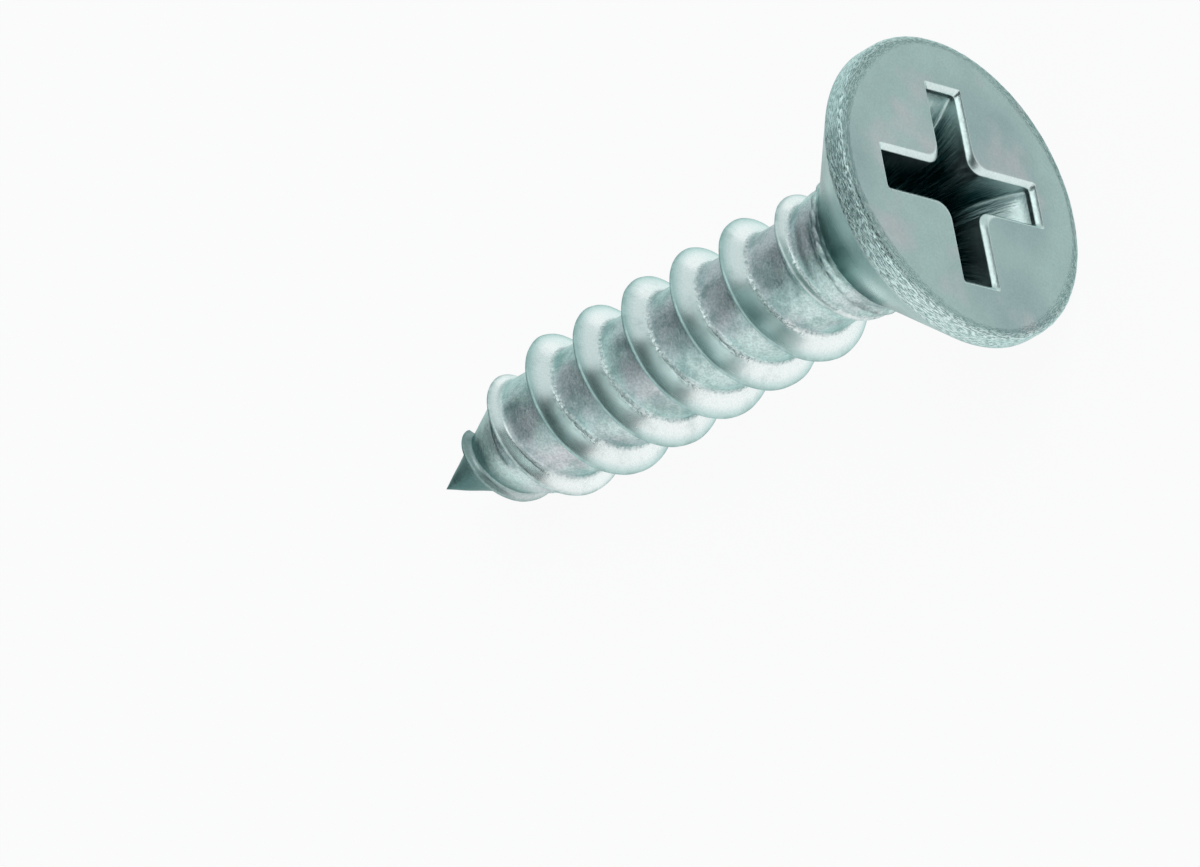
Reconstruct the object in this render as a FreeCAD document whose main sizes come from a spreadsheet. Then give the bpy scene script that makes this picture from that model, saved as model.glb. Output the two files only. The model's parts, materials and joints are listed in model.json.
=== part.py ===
import FreeCAD, Part
import math
import os

import Sketcher

# A zinc-plated countersunk tapping screw with a cross recess, one piece of cold-formed steel.
# It is drawn upright, with its point at the origin and its head's flat face at the top of +Z.
# The finished screw is then laid on its side, as it comes to rest: on the head's rim and one crest.

# Every size is in millimetres and every angle in degrees.
sizeValues = {
    # head
    "length": 18.55,
    "head_diameter": 8.0,
    "rim_height": 0.58,
    "head_angle": 82.0,
    "head_edge_round": 0.1,
    # shank under the head, smooth up to where the thread runs out
    "neck_diameter": 3.4,
    "neck_length": 0.63,
    "neck_fillet": 1.2,
    # core and point
    "core_diameter": 3.04,
    "point_angle": 49.2,
    # thread, one right-hand ridge
    "thread_diameter": 4.2,
    "pitch": 1.745,
    "flank_angle": 60.0,
    "crest_width": 0.09,
    "root_overlap": 0.07,
    "start_height": 1.603,
    "start_diameter": 2.0,
    "second_diameter": 3.54,
    "runout_turns": 1.25,
    "runout_sink": 0.04,
    "runout_lap_turns": 0.05,
    "runout_lap_step": 0.01,
    # cross recess
    "recess_turn": -30.3,
    "recess_span": 5.4,
    "wing_width": 1.26,
    "recess_depth": 2.4,
    "floor_span": 3.1,
    "floor_wing_width": 0.84,
    "recess_corner_round": 0.42,
    "pit_diameter": 1.1,
    "pit_depth": 0.35,
    # which side of the screw faces up when it lies down, counted round its axis from +X
    "upper_side": 40.5,
}

document = FreeCAD.newDocument("countersunk_screw")
sizes = document.addObject("Spreadsheet::Sheet", "Sizes")
for row, (alias, value) in enumerate(sizeValues.items(), start=1):
    sizes.set(f"A{row}", alias)
    sizes.set(f"B{row}", str(value))
    sizes.setAlias(f"B{row}", alias)
document.recompute()

screw = document.addObject("PartDesign::Body", "Screw")
screw.Label = "screw"


def originPlane(body, role):
    """The body's own origin plane with this role, such as XZ_Plane."""
    return next(plane for plane in body.Origin.OriginFeatures if plane.Role == role)


def newSketch(name, role):
    """An empty sketch on one of the screw's origin planes."""
    sketch = screw.newObject("Sketcher::SketchObject", name)
    sketch.AttachmentSupport = (originPlane(screw, role), "")
    sketch.MapMode = "FlatFace"
    return sketch


def drawOutline(sketch, corners):
    """Draw a closed outline of straight lines and tie each corner's two coordinates to the sheet."""
    places = []
    for corner in corners:
        places.append(FreeCAD.Vector(*[sketch.evalExpression(text) for text in corner], 0))
    for start, end in zip(places, places[1:] + places[:1]):
        sketch.addGeometry(Part.LineSegment(start, end), False)
    for line in range(len(corners)):
        following = (line + 1) % len(corners)
        sketch.addConstraint(Sketcher.Constraint("Coincident", line, 2, following, 1))
    for line, corner in enumerate(corners):
        for direction, text, value in zip(("DistanceX", "DistanceY"), corner, places[line]):
            index = sketch.addConstraint(Sketcher.Constraint(direction, -1, 1, line, 1, value))
            sketch.setExpression(f"Constraints[{index}]", text)


def tieSizes(feature, expressions):
    """Tie a feature's properties to the sheet."""
    for name, text in expressions.items():
        feature.setExpression(name, text)


# Heights up the axis that several features share.
pointHeight = "Sizes.core_diameter / 2 / tan(Sizes.point_angle / 2)"
rimBack = "(Sizes.length - Sizes.rim_height)"
neckTop = f"({rimBack} - (Sizes.head_diameter - Sizes.neck_diameter) / 2 / tan(Sizes.head_angle / 2))"
fullStart = "(Sizes.start_height + 2 * Sizes.pitch)"
runoutStart = f"({neckTop} - Sizes.neck_length - Sizes.pitch)"
fullTurns = f"(({runoutStart} - {fullStart}) / Sizes.pitch)"

# Half of the blank's lengthwise section, from the point up one side to the flat face.
blankOutline = newSketch("BlankOutline", "XZ_Plane")
drawOutline(blankOutline, [
    ("0", "0"),
    ("Sizes.core_diameter / 2", pointHeight),
    ("Sizes.core_diameter / 2", f"{runoutStart} + Sizes.pitch / 2"),
    ("Sizes.neck_diameter / 2", f"{runoutStart} + Sizes.pitch"),
    ("Sizes.neck_diameter / 2", neckTop),
    ("Sizes.head_diameter / 2", rimBack),
    ("Sizes.head_diameter / 2", "Sizes.length"),
    ("0", "Sizes.length"),
])
blank = screw.newObject("PartDesign::Revolution", "Blank")
blank.Profile = blankOutline
blank.ReferenceAxis = (blankOutline, ["V_Axis"])
document.recompute()


def edgesWhere(shape, wanted):
    """Names of the shape's edges that pass a test, as a dress-up feature takes them."""
    return [f"Edge{number}" for number, edge in enumerate(shape.Edges, start=1) if wanted(edge)]


def ringAt(radius, height):
    """A test that picks a full circle round the axis by its radius and height."""
    def test(edge):
        centre = edge.BoundBox.Center
        return (
            edge.Closed
            and isinstance(edge.Curve, Part.Circle)
            and abs(edge.Curve.Radius - radius) < 1e-4
            and abs(centre.z - height) < 1e-4
        )
    return test


def roundEdges(name, base, tests, radiusText):
    """Round the edges of the base feature that pass any of the tests."""
    edges = edgesWhere(base.Shape, lambda edge: any(test(edge) for test in tests))
    rounded = screw.newObject("PartDesign::Fillet", name)
    rounded.Base = (base, edges)
    rounded.setExpression("Radius", radiusText)
    document.recompute()
    return rounded


def sheetValue(text):
    """The number that an expression in the sheet's names comes to."""
    return float(sizes.evalExpression(text.replace("Sizes.", "")))


# The head's cone runs into the neck in a hollow curve, and its rim band has worn corners.
neckRadius = sheetValue("Sizes.neck_diameter / 2")
headRadius = sheetValue("Sizes.head_diameter / 2")
neckBend = roundEdges("NeckBend", blank, [ringAt(neckRadius, sheetValue(neckTop))], "Sizes.neck_fillet")
rimRings = [ringAt(headRadius, sheetValue(rimBack)), ringAt(headRadius, sheetValue("Sizes.length"))]
headRim = roundEdges("HeadRim", neckBend, rimRings, "Sizes.head_edge_round")

# The thread is one ridge, swept in four stretches. Over the first turn its crest keeps beside the
# point's cone, over the second it grows to its full diameter, it holds that diameter up the core, and
# then it sinks into the neck. The last stretch begins a hair lower and inside the one before it.
ridgeDepth = "((Sizes.thread_diameter - Sizes.core_diameter) / 2 + Sizes.root_overlap)"
halfCrest = "Sizes.crest_width / 2"
halfRoot = f"({halfCrest} + {ridgeDepth} * tan(Sizes.flank_angle / 2))"
fullRadius = "Sizes.thread_diameter / 2"
sunkRadius = "(Sizes.neck_diameter / 2 - Sizes.runout_sink)"


def sweepRidge(name, crest, endCrest, height, turns, startAngle=None):
    """One stretch of the ridge, from a crest radius and height, through some turns, to its end radius."""
    profile = newSketch(name + "Profile", "XZ_Plane")
    drawOutline(profile, [
        (crest, f"{height} - {halfCrest}"),
        (crest, f"{height} + {halfCrest}"),
        (f"{crest} - {ridgeDepth}", f"{height} + {halfRoot}"),
        (f"{crest} - {ridgeDepth}", f"{height} - {halfRoot}"),
    ])
    if startAngle:
        profile.AttachmentOffset = FreeCAD.Placement(
            FreeCAD.Vector(0, 0, 0), FreeCAD.Rotation(FreeCAD.Vector(0, 1, 0), 1)
        )
        profile.setExpression("AttachmentOffset.Rotation.Angle", startAngle)
    ridge = screw.newObject("PartDesign::AdditiveHelix", name)
    ridge.Profile = profile
    ridge.ReferenceAxis = (profile, ["V_Axis"])
    ridge.Mode = "pitch-height-angle"
    ridge.LeftHanded = False
    tieSizes(ridge, {
        "Pitch": "Sizes.pitch",
        "Height": f"{turns} * Sizes.pitch",
        "Angle": f"atan(({endCrest} - {crest}) / ({turns} * Sizes.pitch))",
    })
    document.recompute()
    return ridge


startRadius = "Sizes.start_diameter / 2"
secondRadius = "Sizes.second_diameter / 2"
sweepRidge("PointThread", startRadius, secondRadius, "Sizes.start_height", "1")
sweepRidge("GrowingThread", secondRadius, fullRadius, "(Sizes.start_height + Sizes.pitch)", "1")
sweepRidge("FullThread", fullRadius, fullRadius, fullStart, fullTurns)
sweepRidge(
    "ThreadRunout",
    f"({fullRadius} - Sizes.runout_lap_step)",
    sunkRadius,
    f"({runoutStart} - Sizes.runout_lap_turns * Sizes.pitch)",
    "Sizes.runout_turns",
    f"360 * ({fullTurns} - Sizes.runout_lap_turns)",
)


def drawCross(name, height, span, width):
    """A cross with four equal wings, square to the axis at a height, turned as the recess is."""
    cross = newSketch(name, "XY_Plane")
    reach = f"({span} / 2)"
    flank = f"({width} / 2)"
    corners = []
    for across, along in (("", ""), ("-", ""), ("-", "-"), ("", "-")):
        quarter = [
            (f"{across}{reach}", f"{along}{flank}"),
            (f"{across}{flank}", f"{along}{flank}"),
            (f"{across}{flank}", f"{along}{reach}"),
        ]
        corners += quarter if across == along else quarter[::-1]
    drawOutline(cross, corners)
    cross.setExpression("AttachmentOffset.Base.z", height)
    cross.setExpression("AttachmentOffset.Rotation.Angle", "Sizes.recess_turn")
    return cross


# The cross recess narrows from the face down to its floor, where a punch left a small pit.
recessFloor = "(Sizes.length - Sizes.recess_depth)"
recessMouth = drawCross("RecessMouth", "Sizes.length", "Sizes.recess_span", "Sizes.wing_width")
recessBase = drawCross("RecessBase", recessFloor, "Sizes.floor_span", "Sizes.floor_wing_width")
recess = screw.newObject("PartDesign::SubtractiveLoft", "CrossRecess")
recess.Profile = recessMouth
recess.Sections = [recessBase]
recess.Ruled = True
document.recompute()


def innerCorner(edge):
    """True for the four slanting edges where one wing of the recess meets the next."""
    low, high = sorted((vertex.Point for vertex in edge.Vertexes), key=lambda point: point.z)[:2]
    mouth = sheetValue("Sizes.wing_width") / math.sqrt(2)
    floor = sheetValue("Sizes.floor_wing_width") / math.sqrt(2)
    return (
        abs(math.hypot(high.x, high.y) - mouth) < 1e-4
        and abs(math.hypot(low.x, low.y) - floor) < 1e-4
        and abs(high.z - sheetValue("Sizes.length")) < 1e-4
    )


twoEnded = [lambda edge: len(edge.Vertexes) == 2 and innerCorner(edge)]
recessCorners = roundEdges("RecessCorners", recess, twoEnded, "Sizes.recess_corner_round")

pitOutline = newSketch("PitOutline", "XZ_Plane")
drawOutline(pitOutline, [
    ("0", recessFloor),
    ("Sizes.pit_diameter / 2", recessFloor),
    ("0", f"{recessFloor} - Sizes.pit_depth"),
])
pit = screw.newObject("PartDesign::Groove", "RecessPit")
pit.Profile = pitOutline
pit.ReferenceAxis = (pitOutline, ["V_Axis"])
document.recompute()

# Lying down, the screw touches the floor with the rounded back edge of its rim and with the crest on
# its lower side that needs the smallest tilt to reach the floor.
edgeRound = sheetValue("Sizes.head_edge_round")
rimHeight = sheetValue(rimBack) + edgeRound * math.tan(math.radians(sheetValue("Sizes.head_angle / 4")))
rimRadius = headRadius - edgeRound
pitch = sheetValue("Sizes.pitch")
upperSide = sheetValue("Sizes.upper_side")
turnsToLowerSide = ((upperSide + 180) % 360) / 360
crestRadii = [sheetValue(startRadius), sheetValue(secondRadius), sheetValue(fullRadius)]


def tiltOnCrest(turn):
    """The axis's angle to the floor, in radians, when the crest of this turn bears the point's end."""
    before = crestRadii[min(turn, 2)]
    after = crestRadii[min(turn + 1, 2)]
    crestRadius = before + (after - before) * turnsToLowerSide
    crestHeight = sheetValue(f"Sizes.start_height - {halfCrest}") + (turn + turnsToLowerSide) * pitch
    rise = rimRadius - crestRadius
    run = rimHeight - crestHeight
    return math.atan2(rise, run) + math.asin(edgeRound / math.hypot(rise, run))


tilt = min(tiltOnCrest(turn) for turn in range(4))
lowest = rimHeight * math.sin(tilt) - rimRadius * math.cos(tilt) - edgeRound
faceHeight = sheetValue("Sizes.length") - edgeRound
farthest = faceHeight * math.cos(tilt) + rimRadius * math.sin(tilt) + edgeRound

# The head points along +X, and the origin is on the floor under the middle of the screw's box.
roll = FreeCAD.Rotation(FreeCAD.Vector(0, 0, 1), 180 - upperSide)
lean = FreeCAD.Rotation(FreeCAD.Vector(0, 1, 0), 90 - math.degrees(tilt))
screw.Placement = FreeCAD.Placement(FreeCAD.Vector(-farthest / 2, 0, -lowest), lean.multiply(roll))
document.recompute()

for item in document.Objects:
    if "Invalid" in item.State or "Error" in item.State:
        raise RuntimeError(f"{item.Name} failed: {item.State}")
if screw.Shape.isNull() or not screw.Shape.isValid() or len(screw.Shape.Solids) != 1:
    raise RuntimeError("the screw is not one valid solid")

os.makedirs("parts", exist_ok=True)
screw.Shape.exportStep(f"parts/{screw.Label}.step")
print(f"tilt {math.degrees(tilt):.3f} degrees, volume {screw.Shape.Volume:.3f} mm3")
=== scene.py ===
# A zinc-plated countersunk tapping screw, lying on its side on a pale studio floor.
import json
import math

import bpy
import numpy as np
from mathutils import Matrix, Vector


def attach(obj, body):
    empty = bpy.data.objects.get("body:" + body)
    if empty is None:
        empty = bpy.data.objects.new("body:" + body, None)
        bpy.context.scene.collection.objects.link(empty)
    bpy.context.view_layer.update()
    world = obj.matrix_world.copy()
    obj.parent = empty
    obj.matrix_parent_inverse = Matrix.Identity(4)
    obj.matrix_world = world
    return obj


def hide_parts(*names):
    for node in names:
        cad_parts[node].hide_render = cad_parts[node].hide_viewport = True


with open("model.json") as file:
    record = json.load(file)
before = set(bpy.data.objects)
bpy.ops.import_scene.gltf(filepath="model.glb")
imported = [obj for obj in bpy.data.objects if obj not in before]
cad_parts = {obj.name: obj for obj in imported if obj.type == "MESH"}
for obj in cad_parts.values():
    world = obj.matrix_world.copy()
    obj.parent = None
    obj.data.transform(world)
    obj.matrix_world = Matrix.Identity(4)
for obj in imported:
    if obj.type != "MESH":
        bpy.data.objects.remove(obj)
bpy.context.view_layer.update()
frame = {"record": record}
print("frame loaded")

# The screw is worked out in millimetres in its own frame, with its point at the origin
# and its axis along z, and set down in the row frame, in metres, at the end.
wholeTurn = 2 * math.pi


def linearColour(hexCode):
    # each channel is c/12.92 in the dark and ((c + 0.055)/1.055) to the power 2.4 above it
    channels = [int(hexCode[i:i + 2], 16) / 255 for i in (1, 3, 5)]
    return tuple(c / 12.92 if c <= 0.04045 else ((c + 0.055) / 1.055) ** 2.4 for c in channels) + (1.0,)


def smoothMax(a, b, blend):
    # half of a + b + the root of ((a - b) squared + blend squared)
    return 0.5 * (a + b + np.sqrt((a - b) ** 2 + blend ** 2))


def smoothMin(a, b, blend):
    # half of a + b - the root of ((a - b) squared + blend squared)
    return 0.5 * (a + b - np.sqrt((a - b) ** 2 + blend ** 2))


def softStep(low, high, value):
    # 0 below low, 1 above high, and 3t squared - 2t cubed between
    t = np.clip((value - low) / (high - low), 0, 1)
    return t * t * (3 - 2 * t)


def softNoise(points, waveLength, seed, waves=24):
    # a sum of plane waves in random directions, each near the given wave length, scaled to about -1..1
    random = np.random.default_rng(seed)
    total = np.zeros(points.shape[:-1])
    for _ in range(waves):
        direction = random.normal(size=3)
        direction *= wholeTurn / (waveLength * random.uniform(0.7, 1.5) * np.linalg.norm(direction))
        total += np.cos(points @ direction + random.uniform(0, wholeTurn))
    return total / math.sqrt(waves / 2)


def aroundAxis(angle, radius, height):
    # x = r cos a, y = r sin a, z = height
    return np.stack([radius * np.cos(angle), radius * np.sin(angle), height + 0 * radius], -1)


# Shank: point, core, thread, run-out and neck
shank = {
    "pointHalfAngle": 24.6,
    "coreRadius": 1.52,
    "neckRadius": 1.70,
    "neckBend": 1.2,          # radius between the neck and the head's cone
    "coneCorner": 15.324,     # height where the cone would meet the neck without that radius
    "headHalfAngle": 41.0,
    "pitch": 1.745,
    "threadRadius": 2.10,
    "flankHalfAngle": 30.0,
    "crestWidth": 0.06,
    "crestBlend": 0.02,
    "rootBlend": 0.040,
    "startHeight": 1.603,     # height of the ridge at angle 0 on its first turn
    "startRadius": 1.00,
    "secondRadius": 1.77,
    "fullTurns": 4.502,
    "runoutTurns": 1.25,
    "runoutRadius": 1.66,
    "sunkTurns": 0.5,         # past the run-out the ridge goes on sinking into the core
    "sunkRadius": 1.3,
    "bluntTurns": 0.05,       # the ridge rises from the cone over this part of a turn
    "swellStart": 13.82,      # the core widens to the neck between these heights
    "swellEnd": 14.69,
    "markHeight": 15.08,      # fine raised ring where the rolled part ends
    "markLean": 0.12,         # it rises and falls by this round the neck, highest at the angle below
    "markHighSide": 20.0,
    "markRise": 0.11,
    "markWidth": 0.055,
    "topHeight": 15.50,       # the helical grid ends here and level rings go on
    "pointFade": 0.6,         # the ridge and the unevenness fade out over these heights at both ends
    "topFade": 0.3,
    "columns": 240,
    "crestSpan": 0.08,        # rows lie close together over this much on each side of the crest,
    "rootSpan": (0.05, 0.07),       # and over this much on the crest's and the land's side of the root line
    "rowSteps": (4, 6, 5, 6),       # rows on the crest, the flank, the root line and half a land
    "rootLineWidth": 0.07,
    "rootLineTurns": (1.0, 1.8),    # the root line's burrs come in over these turns
    # rise, wave length and random seed of the unevenness along the root lines, the crest and everywhere
    "rootBurr": (0.002, 0.16, 11),
    "crestBurr": (0.001, 0.22, 12),
    "landUnevenness": (0.004, 0.9, 13),
}


def coreProfile(z, angle=0.0):
    # the lower of the point's cone and the core, plus an arc and a cone that open to the head
    half = math.radians(shank["headHalfAngle"])
    bendRadius = shank["neckBend"]
    bendStart = shank["coneCorner"] - bendRadius * math.tan(half / 2)
    cone = np.maximum(z, 0) * math.tan(math.radians(shank["pointHalfAngle"]))
    swell = softStep(shank["swellStart"], shank["swellEnd"], z)
    core = shank["coreRadius"] + (shank["neckRadius"] - shank["coreRadius"]) * swell
    bendRise = np.clip(z - bendStart, 0, bendRadius * math.sin(half))
    bend = bendRadius - np.sqrt(bendRadius ** 2 - bendRise ** 2)
    beyond = np.maximum(z - bendStart - bendRadius * math.sin(half), 0) * math.tan(half)
    markHeight = shank["markHeight"] + shank["markLean"] * np.cos(angle - math.radians(shank["markHighSide"]))
    mark = shank["markRise"] * np.exp(-((z - markHeight) / shank["markWidth"]) ** 2)
    return np.minimum(cone, core) + bend + beyond + mark


def crestRadius(turns):
    # straight lines between the radii at the ridge's start, one and two turns on,
    # at the end of the full thread, at the end of the run-out and where it has sunk into the core
    fullEnd = 2 + shank["fullTurns"]
    runoutEnd = fullEnd + shank["runoutTurns"]
    places = [-shank["bluntTurns"], 0, 1, 2, fullEnd, runoutEnd, runoutEnd + shank["sunkTurns"]]
    radii = [0.0, shank["startRadius"], shank["secondRadius"], shank["threadRadius"],
             shank["threadRadius"], shank["runoutRadius"], shank["sunkRadius"]]
    return np.interp(turns, places, radii)


def ridgeProfile(turns, offset):
    # the crest's radius, and beyond half the crest's width less the distance over the flank angle's tangent
    crest = crestRadius(turns)
    slope = 1 / math.tan(math.radians(shank["flankHalfAngle"]))
    flank = crest - (np.abs(offset) - shank["crestWidth"] / 2) * slope
    return smoothMin(crest, flank, shank["crestBlend"])


def rowOffsets():
    # row places across one pitch, close together at the crest and at the root lines
    rise = shank["threadRadius"] - shank["coreRadius"]
    rootLine = shank["crestWidth"] / 2 + rise * math.tan(math.radians(shank["flankHalfAngle"]))
    rootStart, rootEnd = rootLine - shank["rootSpan"][0], rootLine + shank["rootSpan"][1]
    crestSteps, flankSteps, rootSteps, landSteps = shank["rowSteps"]
    crest = np.linspace(0, shank["crestSpan"], crestSteps)
    flank = np.linspace(shank["crestSpan"], rootStart, flankSteps)[1:]
    root = np.linspace(rootStart, rootEnd, rootSteps)[1:]
    land = np.linspace(rootEnd, shank["pitch"] / 2, landSteps)[1:]
    half = np.concatenate([crest, flank, root, land])
    return np.concatenate([-half[:0:-1], half[:-1]])


# Finish zones: at every point each has a value from 0 to 1, and the zinc plate reads them
zoneNames = ("flank", "outer", "paintedHighlight", "land", "rootLine", "crest",
             "point", "neck", "rim", "face", "lip", "recess")

# where they begin and where they are full, in millimetres
zoneEdges = {
    "land": (-0.03, 0.06),    # by how far the core stands above the ridge's own form
    "flank": (0.0, 0.08),     # by how far the ridge stands above the core
    "crest": (0.02, 0.15),    # the same
    "crestWidth": 0.055,
    "outer": (1.80, 2.08),    # by radius
    "point": (1.2, 3.4),      # by height, where it ends
    "neck": (14.6, 15.5),     # by height
    "neckEnd": (16.4, 17.5),  # by height, where all but a fifth of the neck's painted shade ends
    "neckLoss": 0.8,
    "rim": (-0.1, 0.15),      # by height above the rim's lower edge
    "recess": (0.2, 1.0),     # by depth under the face
    "wingEnd": (-0.12, -0.02),      # by distance from the wing's tip
    "wingReach": (1.5, 2.0),  # by distance from the axis
    "wingDepth": (0.2, 0.3),  # by depth under the face
    "wingEndLight": 0.7,      # share of the recess's painted shade that the wings' ends lose
    "faceRings": (0.25, 0.5, 0.75, 1.0),    # round the face's edge
    "lipRings": (0.6, 1, 1, 1, 0.6, 0.2),   # from the face's last ring down the bevel
}


def shankSurface(angles):
    # rows follow the helix, so the row at offset d on turn n has the height
    # start + pitch * (n + angle / whole turn) + d, held between the point and the top
    offsets = rowOffsets()
    lastTurn = int((shank["topHeight"] - shank["startHeight"]) / shank["pitch"]) + 3
    turnNumbers = np.arange(-3, lastTurn)
    rowTurn = np.repeat(turnNumbers, len(offsets))[:, None]
    rowOffset = np.tile(offsets, len(turnNumbers))[:, None]
    turns = rowTurn + angles[None, :] / wholeTurn
    freeHeight = shank["startHeight"] + shank["pitch"] * turns + rowOffset
    height = np.clip(freeHeight, 0, shank["topHeight"])
    angleGrid = angles[None, :] + 0 * height
    core = coreProfile(height, angleGrid)
    ridge = np.maximum(ridgeProfile(turns, rowOffset), 0)
    fade = softStep(0, shank["pointFade"], height)
    fade = fade * softStep(0, shank["topFade"], shank["topHeight"] - height)
    radius = core + (smoothMax(core, ridge, shank["rootBlend"]) - core) * fade
    # how near the root line and the crest are: e to the power of minus (distance / width) squared
    rootNearness = np.exp(-((ridge - core) / shank["rootLineWidth"]) ** 2)
    rootNearness = rootNearness * softStep(*shank["rootLineTurns"], turns)
    crestNearness = np.exp(-(rowOffset / zoneEdges["crestWidth"]) ** 2)
    crestNearness = crestNearness * softStep(*zoneEdges["crest"], np.maximum(ridge - core, 0))
    smooth = aroundAxis(angleGrid, radius, height)
    unevenness = 0
    for name, nearness in (("rootBurr", rootNearness), ("crestBurr", crestNearness), ("landUnevenness", 1)):
        rise, waveLength, seed = shank[name]
        unevenness = unevenness + rise * nearness * softNoise(smooth, waveLength, seed)
    radius = radius + fade * unevenness
    return {
        "points": aroundAxis(angleGrid, radius, height),
        "freeHeight": freeHeight,
        "rowHeight": shank["startHeight"] + shank["pitch"] * rowTurn + rowOffset,
        "rowsPerPitch": len(offsets),
        "zones": {
            "land": softStep(*zoneEdges["land"], core - ridge),
            "flank": softStep(*zoneEdges["flank"], ridge - core),
            "outer": softStep(*zoneEdges["outer"], radius),
            "rootLine": rootNearness,
            "crest": crestNearness,
            "point": 1 - softStep(*zoneEdges["point"], height),
            "neck": softStep(*zoneEdges["neck"], height),
        },
    }


# Head: cone, rim, face and cross recess
head = {
    "length": 18.55,          # from the point to the face
    "radius": 4.0,
    "rimHeight": 0.58,
    "coneEdgeRound": 0.10,
    "faceEdgeRound": 0.16,
    # rise, wave length, random seed and how far it is shifted inwards, in shares of the rise
    "rimUnevenness": (0.006, 0.3, 14, 2.5),
    "faceUnevenness": (0.004, 1.6, 15, 1.2),
    "coneSteps": 22,          # rings up the cone, round its edge, up the rim and round the face's edge
    "coneEdgeSteps": 5,
    "rimSteps": 8,
    "faceEdgeSteps": 7,
    "faceSteps": 11,          # across the face, and down the recess's leaning walls
    "wallSteps": 12,
    "recessTurn": -30.3,      # the first wing's direction
    "recessSpan": 5.4,
    "wingWidth": 1.26,
    "innerCorner": 0.42,
    "wingCorner": 0.04,
    "lip": 0.13,              # bevel along the recess's edge
    # the bevel with its two edges broken: how far in and how deep, in shares of its width
    "lipSteps": ((0.1, 0.05), (0.5, 0.4), (0.9, 0.85), (1, 1), (1, 1.15)),
    "wallHeight": 0.24,       # where the upright part of its wall ends
    "leanStart": 0.26,        # where the leaning walls begin
    "recessDepth": 2.4,
    "floorSpan": 3.1,
    "floorWingWidth": 0.84,
    "pitRadius": 0.5,
    "pitDepth": 0.3,
    "highlightAngle": 110.0,    # a painted highlight: a spot under the head painted bright
    "highlightHeight": 16.77,
    "highlightLength": 0.60,
}


def crossOutline(span, width):
    # a quarter goes from the middle of one inner corner round a wing to the next: arc, line, arc, line,
    # arc, line, arc; four of them make the cross, with points at equal steps along it
    half, tip = width / 2, span / 2
    innerCorner, wingCorner = head["innerCorner"], head["wingCorner"]
    eighth = np.linspace(0, math.pi / 4, 12)
    quarterTurn = np.linspace(0, math.pi / 2, 10)
    inX = half + innerCorner - innerCorner * np.cos(math.pi / 4 + eighth)
    inY = -(half + innerCorner - innerCorner * np.sin(math.pi / 4 + eighth))
    endX = tip - wingCorner + wingCorner * np.sin(quarterTurn)
    endY = -(half - wingCorner + wingCorner * np.cos(quarterTurn))
    x = np.concatenate([inX, endX, endX[::-1], inX[::-1]])
    y = np.concatenate([inY, endY, -endY[::-1], -inY[::-1]])
    along = np.concatenate([[0], np.cumsum(np.hypot(np.diff(x), np.diff(y)))])
    steps = np.linspace(0, along[-1], shank["columns"] // 4 + 1)[:-1]
    quarter = np.interp(steps, along, x) + 1j * np.interp(steps, along, y)
    turns = math.radians(head["recessTurn"]) + np.arange(4) * math.pi / 2
    return (np.exp(1j * turns)[:, None] * quarter[None, :]).ravel()


def roundedCorner(before, corner, after, radius, steps):
    # an arc of the given radius that touches both lines at the corner
    before, corner, after = (np.array(p, float) for p in (before, corner, after))
    inward = (before - corner) / np.linalg.norm(before - corner)
    outward = (after - corner) / np.linalg.norm(after - corner)
    halfOpening = math.acos(float(inward @ outward)) / 2
    bisector = (inward + outward) / np.linalg.norm(inward + outward)
    middle = corner + bisector * radius / math.sin(halfOpening)
    first = corner + inward * radius / math.tan(halfOpening) - middle
    last = corner + outward * radius / math.tan(halfOpening) - middle
    sweep = math.acos(float(np.clip(first @ last / radius ** 2, -1, 1)))
    share = np.linspace(0, 1, steps)[:, None]
    return middle + (np.sin((1 - share) * sweep) * first + np.sin(share * sweep) * last) / math.sin(sweep)


def headProfile():
    # radius and height along the cone, round its edge, up the rim and round the face's edge
    coneTop = head["length"] - head["rimHeight"]
    coneEdge = roundedCorner(
        (coreProfile(coneTop - 1.0), coneTop - 1.0), (head["radius"], coneTop),
        (head["radius"], head["length"]), head["coneEdgeRound"], head["coneEdgeSteps"])
    faceEdge = roundedCorner(
        (head["radius"], coneTop), (head["radius"], head["length"]),
        (0, head["length"]), head["faceEdgeRound"], head["faceEdgeSteps"])
    coneHeights = np.linspace(shank["topHeight"], coneEdge[0, 1], head["coneSteps"])[:-1]
    cone = np.stack([coreProfile(coneHeights), coneHeights], -1)
    rim = np.linspace(coneEdge[-1], faceEdge[0], head["rimSteps"])[1:-1]
    return np.concatenate([cone, coneEdge, rim, faceEdge])


def headSurface(angles):
    # level rings of the profile's radius at the profile's height, pushed in a little along the rim
    profile = headProfile()
    radius, height = profile[:, :1], profile[:, 1:]
    angleGrid = angles[None, :] + 0 * radius
    rings = aroundAxis(angleGrid, radius + 0 * angleGrid, height + 0 * angleGrid)
    rimShare = softStep(*zoneEdges["rim"], height - head["length"] + head["rimHeight"])
    outward = np.stack([np.cos(angleGrid), np.sin(angleGrid), 0 * angleGrid], -1)
    rise, waveLength, seed, shift = head["rimUnevenness"]
    push = rise * rimShare * (softNoise(rings, waveLength, seed) - shift) / 2
    # distance from the painted highlight's middle, along the turn and up
    turnAway = (np.degrees(angleGrid) - head["highlightAngle"] + 180) % 360 - 180
    away = np.hypot(np.radians(turnAway) * radius, height - head["highlightHeight"])
    faceShare = np.zeros_like(radius)
    faceShare[-len(zoneEdges["faceRings"]):, 0] = zoneEdges["faceRings"]
    return {
        "points": rings + outward * push[..., None],
        "profile": profile,
        "zones": {
            "rim": rimShare,
            # painted shade: the neck is coloured darker, fading out up the cone
            "neck": 1 - zoneEdges["neckLoss"] * softStep(*zoneEdges["neckEnd"], height),
            # painted highlight: a bright spot under the head
            "paintedHighlight": np.exp(-(away / head["highlightLength"]) ** 2),
            "face": faceShare,
        },
    }


def flatRing(plane, depth):
    # x and y from a complex number, z = the face's height - depth
    return np.stack([plane.real, plane.imag, head["length"] - depth + 0 * plane.real], -1)


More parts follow.
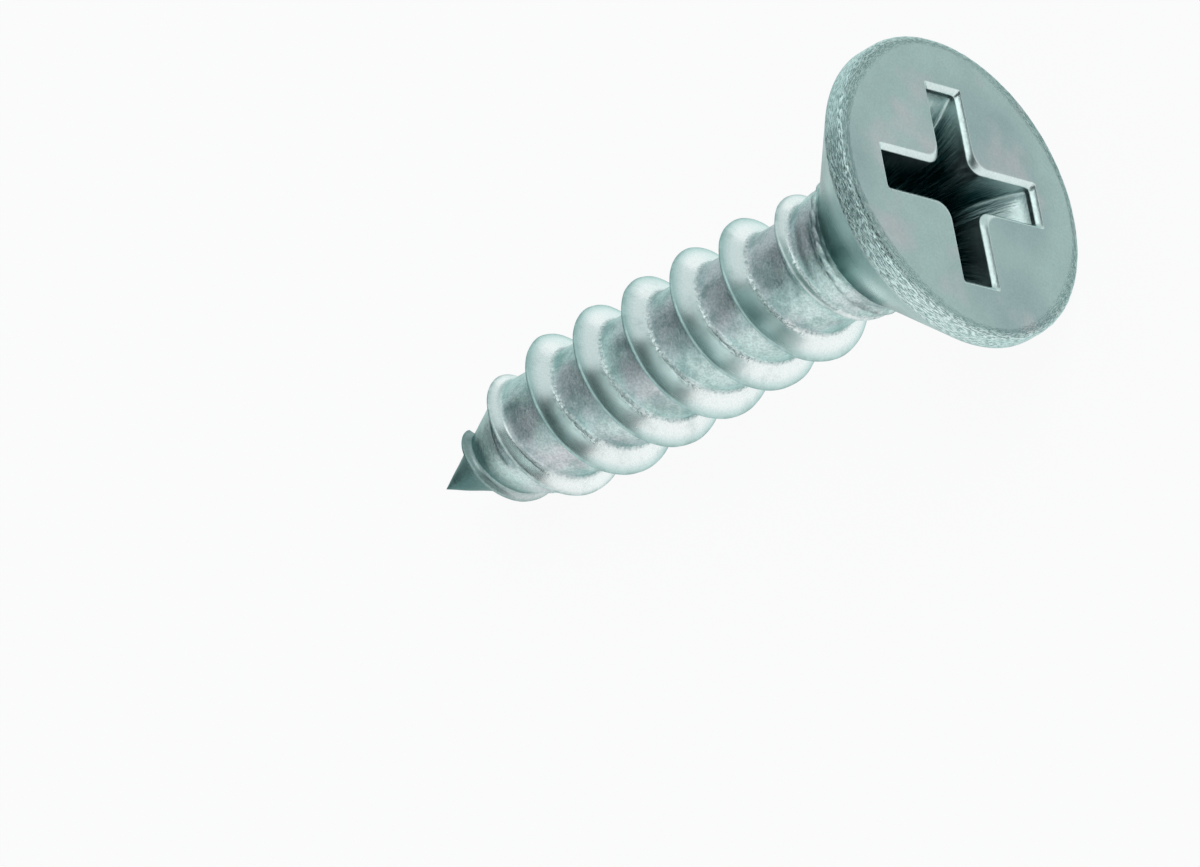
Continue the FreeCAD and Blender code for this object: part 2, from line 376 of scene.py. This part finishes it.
def faceSurface(angles):
    # straight lines from the edge's ring to the outline of the recess, sagging by a few microns,
    # with one more ring close to that outline
    mouth = crossOutline(head["recessSpan"], head["wingWidth"])
    edge = (head["radius"] - head["faceEdgeRound"]) * np.exp(1j * angles)
    shares = np.append(np.linspace(0, 1, head["faceSteps"])[1:-1], [0.985, 1])[:, None]
    face = flatRing(edge[None, :] * (1 - shares) + mouth[None, :] * shares, 0)
    rise, waveLength, seed, shift = head["faceUnevenness"]
    calm = np.sin(np.pi * shares) * rise
    face[..., 2] += calm * softNoise(face, waveLength, seed) - calm * shift
    lipShare = np.zeros_like(shares)
    lipShare[-1] = zoneEdges["lipRings"][0]
    return {"points": face, "zones": {"face": np.ones_like(shares), "lip": lipShare}}


def recessSurface(angles):
    # bevelled lip, upright wall, walls that lean in to the floor, and the pit: a row of flat rings,
    # each a cross or a circle at its own depth
    lip = head["lip"]
    topSpan, topWidth = head["recessSpan"] - 2 * lip, head["wingWidth"] - 2 * lip
    pitCircle = head["pitRadius"] * np.exp(1j * angles)
    leanDepth = head["recessDepth"] - head["leanStart"]
    rows = []
    for inward, deep in head["lipSteps"]:
        inset = 2 * lip * inward
        rows.append((crossOutline(head["recessSpan"] - inset, head["wingWidth"] - inset), lip * deep))
    rows.append((crossOutline(topSpan, topWidth), head["wallHeight"]))
    # the wings' ends slope in fast at first: their span goes down with 1 - (1 - share) squared
    for share in np.linspace(0, 1, head["wallSteps"]):
        span = topSpan + (head["floorSpan"] - topSpan) * (1 - (1 - share) ** 2)
        width = topWidth + (head["floorWingWidth"] - topWidth) * share
        rows.append((crossOutline(span, width), head["leanStart"] + leanDepth * share))
    floor = crossOutline(head["floorSpan"], head["floorWingWidth"])
    for share in (0.3, 0.6, 0.9, 1.0):
        rows.append((floor * (1 - share) + pitCircle * share, head["recessDepth"]))
    for share in (0.35, 0.7):
        rows.append((pitCircle * (1 - share), head["recessDepth"] + head["pitDepth"] * share))

    # painted shade and light: the recess is painted darker with depth, and the wings' ends are painted
    # lighter
    depths = np.array([depth for _, depth in rows])[:, None]
    wingTurns = np.exp(-1j * (math.radians(head["recessTurn"]) + np.arange(4) * math.pi / 2))
    outwards = (np.stack([plane for plane, _ in rows])[..., None] * wingTurns).real.max(-1)
    atWingEnd = softStep(*zoneEdges["wingEnd"], outwards - outwards.max(-1, keepdims=True))
    atWingEnd = atWingEnd * softStep(*zoneEdges["wingReach"], outwards)
    lipShare = np.zeros_like(depths)
    bevelRings = zoneEdges["lipRings"][1:]
    lipShare[:len(bevelRings), 0] = bevelRings
    return {
        "points": np.stack([flatRing(plane, depth) for plane, depth in rows]),
        "zones": {
            "recess": softStep(*zoneEdges["recess"], depths) * (1 - zoneEdges["wingEndLight"] * atWingEnd),
            # painted light: the wings' ends below the bevel take the lip's pale colour
            "lip": np.maximum(lipShare, atWingEnd * softStep(*zoneEdges["wingDepth"], depths)),
        },
    }


# Pattern coordinates of the level rings, in millimetres
wrapPattern = {
    "headStart": 40.0,        # well apart from the shank's
    "ringStep": 0.3,          # from ring to ring past the rim, over the face and down the recess
}


def buildScrewSurface():
    columns = shank["columns"]
    startAngle = math.radians(head["recessTurn"] - 45)
    angles = startAngle + wholeTurn * np.arange(columns) / columns
    shankPart, headPart = shankSurface(angles), headSurface(angles)
    parts = [shankPart, headPart, faceSurface(angles), recessSurface(angles)]

    # vertices: the point, the shank's grid, the level rings and the bottom of the pit
    pitBottom = head["length"] - head["recessDepth"] - head["pitDepth"]
    grids = [part["points"].reshape(-1, 3) for part in parts]
    points = np.concatenate([np.zeros((1, 3)), *grids, [[0, 0, pitBottom]]])
    zones = {}
    for name in zoneNames:
        values = [(part["zones"].get(name, 0) + np.zeros(part["points"].shape[:2])).ravel() for part in parts]
        zones[name] = np.concatenate([[name == "point"], *values, [name == "recess"]])

    shankRows = len(shankPart["points"])
    levelRows = sum(len(part["points"]) for part in parts[1:])
    shankIds = 1 + np.arange(shankRows * columns).reshape(shankRows, columns)
    levelIds = 1 + shankRows * columns + np.arange(levelRows * columns).reshape(levelRows, columns)
    shankIds = np.where(shankPart["freeHeight"] <= 0, 0, shankIds)
    shankIds = np.where(shankPart["freeHeight"] >= shank["topHeight"], levelIds[0][None, :], shankIds)
    levelIds = np.concatenate([levelIds, np.full((1, columns), len(points) - 1)])

    # the shank's last column joins the first one a whole pitch further up
    rowsPerPitch = shankPart["rowsPerPitch"]
    seamIds = np.concatenate([shankIds[rowsPerPitch:, :1], np.tile(levelIds[:1, :1], (rowsPerPitch, 1))])
    shankWide = np.concatenate([shankIds, seamIds], axis=1)
    levelWide = np.concatenate([levelIds, levelIds[:, :1]], axis=1)
    wideAngles = np.append(angles, startAngle + wholeTurn)

    # pattern coordinates in millimetres: along the turn at the rim's radius, and up the surface
    profile = headPart["profile"]
    ringLength = np.concatenate([[0], np.cumsum(np.hypot(*np.diff(profile, axis=0).T))])
    pastRim = ringLength[-1] + wrapPattern["ringStep"] * np.arange(1, len(levelIds) - len(profile) + 1)
    levelCoordinate = wrapPattern["headStart"] + np.concatenate([ringLength, pastRim])
    levelCoordinate = levelCoordinate[:, None] + 0 * wideAngles[None, :]
    helixCoordinate = shankPart["rowHeight"] + 0 * wideAngles[None, :]

    triangles, patterns = [], []
    for ids, upCoordinate in ((shankWide, helixCoordinate), (levelWide, levelCoordinate)):
        uv = np.stack([head["radius"] * wideAngles[None, :] + 0 * upCoordinate, upCoordinate], -1)
        a, b, c, d = (ids[:-1, :-1], ids[:-1, 1:], ids[1:, 1:], ids[1:, :-1])
        ua, ub, uc, ud = (uv[:-1, :-1], uv[:-1, 1:], uv[1:, 1:], uv[1:, :-1])
        for corners, uvCorners in (((a, b, c), (ua, ub, uc)), ((a, c, d), (ua, uc, ud))):
            triangles.append(np.stack(corners, -1).reshape(-1, 3))
            patterns.append(np.stack(uvCorners, -2).reshape(-1, 3, 2))
    triangles, patterns = np.concatenate(triangles), np.concatenate(patterns)
    whole = ((triangles[:, 0] != triangles[:, 1]) & (triangles[:, 1] != triangles[:, 2])
             & (triangles[:, 2] != triangles[:, 0]))
    triangles, patterns = triangles[whole], patterns[whole]
    used, compact = np.unique(triangles, return_inverse=True)
    usedZones = {name: values[used] for name, values in zones.items()}
    return points[used], compact.reshape(-1, 3), patterns, usedZones


pose = {"upSideAngle": 40.5}      # which side of the screw is uppermost as it lies


def placeInRow(points):
    # the record gives the middle of the face and the axis; the turn about the axis is the side that lies up
    mount = next(m for m in frame["record"]["mounts"] if m["name"] == "drive_recess")
    centre, axis = Vector(mount["pos_m"]), Vector(mount["axis"]).normalized()
    upSide = (Vector((0, 0, 1)) - axis * axis.z).normalized()
    acrossSide = axis.cross(upSide)
    turn = math.radians(pose["upSideAngle"])
    xAxis = upSide * math.cos(turn) - acrossSide * math.sin(turn)
    yAxis = axis.cross(xAxis)
    basis = np.array([xAxis, yAxis, axis])
    return np.array(centre) + (points - [0, 0, head["length"]]) @ basis * 0.001


def meshObject(name, points, triangles, patterns, zones):
    mesh = bpy.data.meshes.new(name)
    mesh.vertices.add(len(points))
    mesh.vertices.foreach_set("co", points.astype(np.float32).ravel())
    mesh.loops.add(triangles.size)
    mesh.loops.foreach_set("vertex_index", triangles.astype(np.int32).ravel())
    mesh.polygons.add(len(triangles))
    mesh.polygons.foreach_set("loop_start", np.arange(0, triangles.size, 3, dtype=np.int32))
    mesh.polygons.foreach_set("use_smooth", np.ones(len(triangles), bool))
    mesh.update(calc_edges=True)
    uvLayer = mesh.uv_layers.new(name="wrap")
    uvLayer.data.foreach_set("uv", patterns.astype(np.float32).ravel())
    for zone, values in zones.items():
        attribute = mesh.attributes.new(zone, "FLOAT", "POINT")
        attribute.data.foreach_set("value", values.astype(np.float32))
    mesh.validate()
    piece = bpy.data.objects.new(name, mesh)
    bpy.context.scene.collection.objects.link(piece)
    return piece


points, triangles, patterns, zones = buildScrewSurface()
screwPiece = meshObject("screw_surface", placeInRow(points), triangles, patterns, zones)
print("screw surface", len(points), "points", len(triangles), "triangles")


def addNode(tree, kind, inputs=None, **settings):
    # adds a node, sets its properties, and fills or links its sockets, by name or counted from 0
    node = tree.nodes.new(kind)
    for name, value in settings.items():
        setattr(node, name, value)
    for socket, value in (inputs or {}).items():
        if isinstance(value, bpy.types.NodeSocket):
            tree.links.new(value, node.inputs[socket])
        else:
            node.inputs[socket].default_value = value
    return node


def emptyMaterial(name):
    material = bpy.data.materials.new(name)
    material.use_nodes = True
    material.node_tree.nodes.clear()
    return material


# Zinc plate: steel wire, cold formed and thread rolled, then electroplated with zinc and given a
# clear blue passivate. The eye sees a satin grey metal with a cool blue-green cast, fine grain,
# duller mottled roots between the ridges, scuffed edges, small slanting scratches on the rim and
# the heading punch's marks down the recess's walls.
zincFinish = {
    "colours": {
        "face": "#A6BFBC",
        "cone": "#C6D6D5",
        "warm": "#BDBEC2",
        "dull": "#93A9AC",
        "flank": "#F8FFFE",
        "flankOuter": "#CDE6E4",
        "rim": "#E0F5F3",
        "land": "#DCF0EE",
        "landWarm": "#DAD8DE",
        "stain": "#769D9C",
        # painted shade: a darker colour for the neck under the head
        "neck": "#567876",
        # painted shade: a darker colour for the point
        "point": "#587A79",
        # deep: painted shade down the recess, and also the dark specks along the root lines
        "deep": "#2C6C71",
        "crest": "#94B2B0",
        # a pale colour along the recess's bevelled edge, and painted light on the wings' ends
        "paleLipAndPaintedLight": "#E2F2F0",
        "slant": "#DCEFED",   # the passivate film looks greener at a slant
    },
    # patch size in mm, detail and roughness of each pattern that fills the metal
    "patterns": {
        "wideClouds": (3.96, 1.0, 0.55),
        "clouds": (1.8, 2.0, 0.55),
        "mottle": (0.75, 4.0, 0.65),
        "crestWear": (0.30, 2.0, 0.55),
        "dents": (0.10, 2.0, 0.55),
        "glints": (0.10, 1.0, 0.55),
        "specks": (0.08, 1.0, 0.55),
        "grain": (0.06, 2.0, 0.6),      # drawn coarser than the real 0.01 mm so that it shows
    },
    # size in mm along the turn and up the surface, slant in degrees, detail and roughness
    "marks": {
        "scratches": (0.19, 0.026, 35.0, 1.0, 0.5),
        "streaks": (0.13, 1.6, 0.0, 2.0, 0.6),
    },
    # a pattern or zone between two values gives a share between two values, within another one
    "shares": {
        "coneClouds": ("clouds", 0.48, 0.68, 0.0, 0.65, None),
        "facePatches": ("wideClouds", 0.45, 0.65, 0.0, 0.6, None),
        "faceClouds": ("clouds", 0.50, 0.68, 0.0, 0.6, None),
        "flankStains": ("mottle", 0.50, 0.75, 0.0, 0.25, None),
        "landClouds": ("clouds", 0.42, 0.58, 0.0, 0.8, None),
        "landStains": ("mottle", 0.42, 0.66, 0.0, 0.52, None),
        "rootSpecks": ("specks", 0.50, 0.62, 0.0, 0.4, "rootLine"),
        "rootGlints": ("glints", 0.54, 0.62, 0.0, 0.45, "rootLine"),
        "wornCrest": ("crestWear", 0.40, 0.60, 0.8, 0.4, "crest"),
        "recessShadeAndPunchMarks": ("streaks", 0.50, 0.68, 1.0, 0.35, "recess"),
        "rimChips": ("scratches", 0.42, 0.66, 0.0, 0.68, "rim"),
        "grainDarkening": ("grain", 0.3, 0.7, 0.0, -1.0, None),
        "plainGrain": ("flank", 0.0, 1.0, 0.10, 0.07, None),
        "baseRoughness": ("mottle", 0.3, 0.7, 0.29, 0.40, None),
        "grainHeight": ("flank", 0.0, 1.0, 1.0, 0.0, "grain"),
        "dentHeight": ("dents", 0.35, 0.65, 0.0, 1.0, "roughGround"),
        "rimScratches": ("scratches", 0.45, 0.70, 0.0, 1.0, "rim"),
        "wallStreaks": ("streaks", 0.35, 0.65, 0.0, 1.0, "recess"),
    },
    # coats of colour, each laid over those before it: where, which colour, and the patches in it
    "coats": (
        (None, "cone", (("coneClouds", "warm"),)),
        # painted shade on the neck under the head
        ("neck", "neck", ()),
        # painted highlight: the bright spot under the head
        ("paintedHighlight", "flank", ()),
        ("rim", "rim", ()),
        ("face", "face", (("facePatches", "dull"), ("faceClouds", "warm"))),
        ("flank", "flank", (("outer", "flankOuter"), ("flankStains", "stain"))),
        ("land", "land", (("landClouds", "landWarm"), ("landStains", "stain"))),
        # painted shade on the point
        ("point", "point", ()),
        ("rootSpecks", "deep", ()),
        ("rootGlints", "flank", ()),
        ("wornCrest", "crest", ()),
        # the pale bevel, and painted light on the wings' ends
        ("lip", "paleLipAndPaintedLight", ()),
        # painted shade down the recess, streaked by the heading punch's marks
        ("recessShadeAndPunchMarks", "deep", ()),
        ("rimChips", "stain", ()),
    ),
    "grainLight": 1.03,
    "landGrain": 0.16,        # more grain on the lands and the point
    "landDents": 0.12,
    "roughness": {"flank": 0.25, "neck": 0.24, "land": 0.36, "rootLine": 0.32, "crest": 0.55, "rim": 0.28},
    # strength, and height in mm
    "bumps": {
        "grainHeight": (0.25, 0.02),
        "dentHeight": (0.6, 0.02),
        "scratchHeight": (0.7, 0.04),
    },
}


def makeZincPlate():
    finish = zincFinish
    shades = {name: linearColour(code) for name, code in finish["colours"].items()}
    material = emptyMaterial("zinc_plate_blue_passivate")
    tree = material.node_tree
    place = addNode(tree, "ShaderNodeTexCoord").outputs["Object"]
    wrap = addNode(tree, "ShaderNodeUVMap", uv_map="wrap").outputs["UV"]
    layers = {}
    for name in zoneNames:
        layers[name] = addNode(tree, "ShaderNodeAttribute", attribute_name=name).outputs["Fac"]
    for name, (size, detail, patchiness) in finish["patterns"].items():
        inputs = {"Vector": place, "Scale": 1000 / size, "Detail": detail, "Roughness": patchiness}
        layers[name] = addNode(tree, "ShaderNodeTexNoise", inputs).outputs["Fac"]
    for name, (along, up, turn, detail, patchiness) in finish["marks"].items():
        inputs = {"Vector": wrap, "Rotation": (0, 0, math.radians(turn)), "Scale": (1 / along, 1 / up, 1)}
        slanted = addNode(tree, "ShaderNodeMapping", inputs).outputs[0]
        inputs = {"Vector": slanted, "Scale": 1.0, "Detail": detail, "Roughness": patchiness}
        layers[name] = addNode(tree, "ShaderNodeTexNoise", inputs, noise_dimensions="2D").outputs["Fac"]
    inputs = {0: layers["land"], 1: finish["landDents"], 2: layers["rootLine"]}
    layers["roughGround"] = addNode(tree, "ShaderNodeMath", inputs, operation="MULTIPLY_ADD").outputs[0]
    for name, (source, low, high, lowShare, highShare, within) in finish["shares"].items():
        inputs = {"Value": layers[source], "From Min": low, "From Max": high,
                  "To Min": lowShare, "To Max": highShare}
        share = addNode(tree, "ShaderNodeMapRange", inputs, interpolation_type="SMOOTHSTEP").outputs["Result"]
        if within:
            inputs = {0: share, 1: layers[within]}
            share = addNode(tree, "ShaderNodeMath", inputs, operation="MULTIPLY").outputs[0]
        layers[name] = share

    colour = None
    for where, shade, patches in finish["coats"]:
        coat = shades[shade]
        for patch, patchShade in patches:
            inputs = {0: layers[patch], 6: coat, 7: shades[patchShade]}
            coat = addNode(tree, "ShaderNodeMix", inputs, data_type="RGBA").outputs[2]
        if where:
            inputs = {0: layers[where], 6: colour, 7: coat}
            coat = addNode(tree, "ShaderNodeMix", inputs, data_type="RGBA").outputs[2]
        colour = coat

    # each grain darkens the metal by up to its depth
    inputs = {0: layers["land"], 1: layers["point"]}
    landOrPoint = addNode(tree, "ShaderNodeMath", inputs, operation="MAXIMUM").outputs[0]
    inputs = {0: landOrPoint, 1: finish["landGrain"], 2: layers["plainGrain"]}
    grainDepth = addNode(tree, "ShaderNodeMath", inputs, operation="MULTIPLY_ADD").outputs[0]
    inputs = {0: layers["grainDarkening"], 1: grainDepth, 2: finish["grainLight"]}
    grainShade = addNode(tree, "ShaderNodeMath", inputs, operation="MULTIPLY_ADD").outputs[0]
    inputs = {0: colour, "Scale": grainShade}
    colour = addNode(tree, "ShaderNodeVectorMath", inputs, operation="SCALE").outputs[0]

    roughness = layers["baseRoughness"]
    for where, value in finish["roughness"].items():
        inputs = {0: layers[where], 2: roughness, 3: value}
        roughness = addNode(tree, "ShaderNodeMix", inputs, data_type="FLOAT").outputs[0]

    inputs = {0: layers["rimScratches"], 1: layers["wallStreaks"]}
    layers["scratchHeight"] = addNode(tree, "ShaderNodeMath", inputs, operation="ADD").outputs[0]
    relief = {}
    for name, (strength, height) in finish["bumps"].items():
        inputs = {"Height": layers[name], "Strength": strength, "Distance": height / 1000, **relief}
        relief = {"Normal": addNode(tree, "ShaderNodeBump", inputs).outputs[0]}
    inputs = {"Base Color": colour, "Metallic": 1.0, "Roughness": roughness,
              "Specular Tint": shades["slant"], **relief}
    shader = addNode(tree, "ShaderNodeBsdfPrincipled", inputs)
    addNode(tree, "ShaderNodeOutputMaterial", {"Surface": shader.outputs[0]})
    return material


screwPiece.data.materials.append(makeZincPlate())
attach(screwPiece, "root")
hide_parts("screw")
print("zinc plate finished")


# Studio: a pale floor that fades out to white, even light from a pale room and three soft lamps
studio = {
    "floorSize": 3.0,
    "floorColour": "#EDEDEC",
    "floorGlow": 0.92,        # share of white in what the eye and reflections see of the floor
    "worldColour": "#E8F5F5",
    "worldStrength": 0.76,
    # name: direction (azimuth from +X, elevation), distance and size (m), power (W)
    "lamps": {
        "top": (17, 60, 0.45, 0.24, 0.10),
        "left": (100, 45, 0.45, 0.40, 0.075),
        "right": (-95, 20, 0.45, 0.40, 0.16),
    },
    # cards off both ends of the screw, out of the camera's sight: direction, distance, size, colour
    "cards": {
        "tipCard": (180, 14, 0.40, 0.50, "#38585B"),
        "headCard": (-6, 16, 0.40, 0.46, "#0F2E31"),
    },
    "cardLift": 0.001,        # no card reaches the floor
}


def towards(azimuth, elevation, distance):
    # the point at that distance from the origin: cos a cos e, sin a cos e, sin e
    a, e = math.radians(azimuth), math.radians(elevation)
    return Vector((math.cos(a) * math.cos(e), math.sin(a) * math.cos(e), math.sin(e))) * distance


def makeSheet(name, corners, material):
    mesh = bpy.data.meshes.new(name)
    mesh.from_pydata(corners, [], [(0, 1, 2, 3)])
    mesh.materials.append(material)
    sheet = bpy.data.objects.new(name, mesh)
    bpy.context.scene.collection.objects.link(sheet)
    return sheet


def makeFloor():
    material = emptyMaterial("matt_white_paper")
    tree = material.node_tree
    rays = addNode(tree, "ShaderNodeLightPath")
    seen = rays.outputs["Is Camera Ray"]
    for kind in ("Is Glossy Ray", "Is Transmission Ray"):
        inputs = {0: seen, 1: rays.outputs[kind]}
        seen = addNode(tree, "ShaderNodeMath", inputs, operation="MAXIMUM").outputs[0]
    paper = addNode(tree, "ShaderNodeBsdfDiffuse", {"Color": linearColour(studio["floorColour"])})
    glow = addNode(tree, "ShaderNodeEmission", {"Color": (1, 1, 1, 1), "Strength": 1.0})
    inputs = {0: seen, 1: studio["floorGlow"]}
    share = addNode(tree, "ShaderNodeMath", inputs, operation="MULTIPLY").outputs[0]
    both = addNode(tree, "ShaderNodeMixShader", {0: share, 1: paper.outputs[0], 2: glow.outputs[0]})
    addNode(tree, "ShaderNodeOutputMaterial", {"Surface": both.outputs[0]})
    half = studio["floorSize"] / 2
    corners = [(-half, -half, 0), (half, -half, 0), (half, half, 0), (-half, half, 0)]
    floor = makeSheet("floor", corners, material)


def makeWorld():
    world = bpy.data.worlds.new("pale_room")
    bpy.context.scene.world = world
    world.use_nodes = True
    tree = world.node_tree
    tree.nodes.clear()
    inputs = {"Color": linearColour(studio["worldColour"]), "Strength": studio["worldStrength"]}
    room = addNode(tree, "ShaderNodeBackground", inputs)
    addNode(tree, "ShaderNodeOutputWorld", {"Surface": room.outputs[0]})


def makeLamps():
    for name, (azimuth, elevation, distance, size, power) in studio["lamps"].items():
        lamp = bpy.data.lights.new(name, "AREA")
        lamp.shape = "DISK"
        lamp.size = size
        lamp.energy = power
        lampObject = bpy.data.objects.new(name, lamp)
        lampObject.location = towards(azimuth, elevation, distance)
        lampObject.rotation_euler = (-lampObject.location).to_track_quat("-Z", "Y").to_euler()
        bpy.context.scene.collection.objects.link(lampObject)


def makeCards():
    for name, (azimuth, elevation, distance, size, colour) in studio["cards"].items():
        middle = towards(azimuth, elevation, distance)
        turn = (-middle).to_track_quat("-Z", "Y")
        half = size / 2
        square = ((-half, -half), (half, -half), (half, half), (-half, half))
        corners = [middle + turn @ Vector((x, y, 0)) for x, y in square]
        material = emptyMaterial(name + "_paper")
        tree = material.node_tree
        paper = addNode(tree, "ShaderNodeBsdfDiffuse", {"Color": linearColour(colour)})
        addNode(tree, "ShaderNodeOutputMaterial", {"Surface": paper.outputs[0]})
        card = makeSheet(name, [(c.x, c.y, max(c.z, studio["cardLift"])) for c in corners], material)
        card.visible_camera = False
        card.visible_shadow = False


makeFloor()
makeWorld()
makeLamps()
makeCards()
print("studio lit")


# Camera: where it stands and what it looks at, in metres, and its turn about its own line of sight
camera = {
    "place": (0.115569, -0.132622, 0.133261),
    "target": (0.000236, -0.005435, 0.006453),
    "roll": -51.0,
    "lens": 267.76,
    "sensorWidth": 36.0,
    "nearest": 0.01,
    "farthest": 10.0,
}


def makeCamera():
    data = bpy.data.cameras.new("camera")
    data.lens = camera["lens"]
    data.sensor_width = camera["sensorWidth"]
    data.clip_start = camera["nearest"]
    data.clip_end = camera["farthest"]
    cameraObject = bpy.data.objects.new("camera", data)
    place, target = Vector(camera["place"]), Vector(camera["target"])
    level = (target - place).to_track_quat("-Z", "Y").to_matrix()
    turned = level @ Matrix.Rotation(math.radians(camera["roll"]), 3, "Z")
    cameraObject.matrix_world = Matrix.Translation(place) @ turned.to_4x4()
    bpy.context.scene.collection.objects.link(cameraObject)
    bpy.context.scene.camera = cameraObject


makeCamera()
bpy.context.scene.view_settings.view_transform = "Standard"
print("camera placed")
